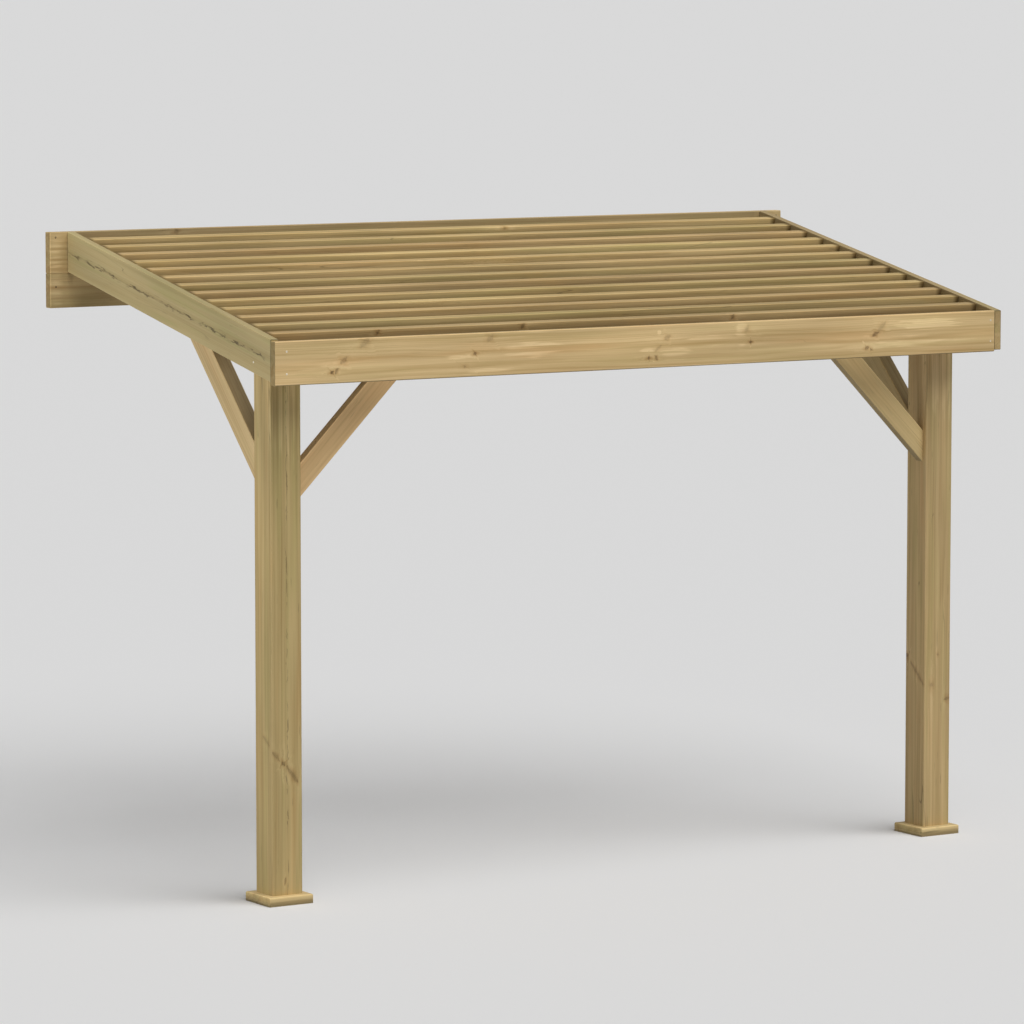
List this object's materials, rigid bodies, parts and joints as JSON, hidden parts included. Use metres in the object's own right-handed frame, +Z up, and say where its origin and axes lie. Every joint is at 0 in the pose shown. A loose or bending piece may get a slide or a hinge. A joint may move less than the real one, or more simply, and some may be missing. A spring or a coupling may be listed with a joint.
{
  "type": "wall-mounted timber pergola",
  "caption": "Lean-to garden pergola in treated softwood: a sloping slatted roof fixed to a wall and carried in front by braced square posts on wooden plates.",
  "frame": {"origin": "centre of the upper wall board's back face, which lies against the wall", "axes": "+X along the wall to the right as seen from in front, +Y into the wall, +Z up"},
  "size_m": [3.266, 1.583, 2.3095],
  "materials": {
    "wall_boards": "planed softwood, pressure treated, matt",
    "roof_boards": "planed softwood, pressure treated, matt",
    "roof_timbers": "planed softwood, pressure treated, matt",
    "slats": "planed softwood, pressure treated, matt",
    "posts": "planed softwood, pressure treated, matt",
    "braces": "planed softwood, pressure treated, matt"
  },
  "bodies": {
    "root": {"upper_wall_board": "wall_boards", "lower_wall_board": "wall_boards", "left_rafter": "roof_boards", "right_rafter": "roof_boards", "front_beam": "roof_boards", "left_inner_rafter": "roof_timbers", "middle_inner_rafter": "roof_timbers", "right_inner_rafter": "roof_timbers", "post_header": "roof_timbers", "left_post": "posts", "right_post": "posts", "left_base_plate": "posts", "right_base_plate": "posts", "left_front_brace": "braces", "right_front_brace": "braces", "left_side_brace": "braces", "right_side_brace": "braces", "slat_01": "slats", "slat_02": "slats", "slat_03": "slats", "slat_04": "slats", "slat_05": "slats", "slat_06": "slats", "slat_07": "slats", "slat_08": "slats", "slat_09": "slats", "slat_10": "slats", "slat_11": "slats", "slat_12": "slats", "slat_13": "slats"}
  },
  "joints": []
}
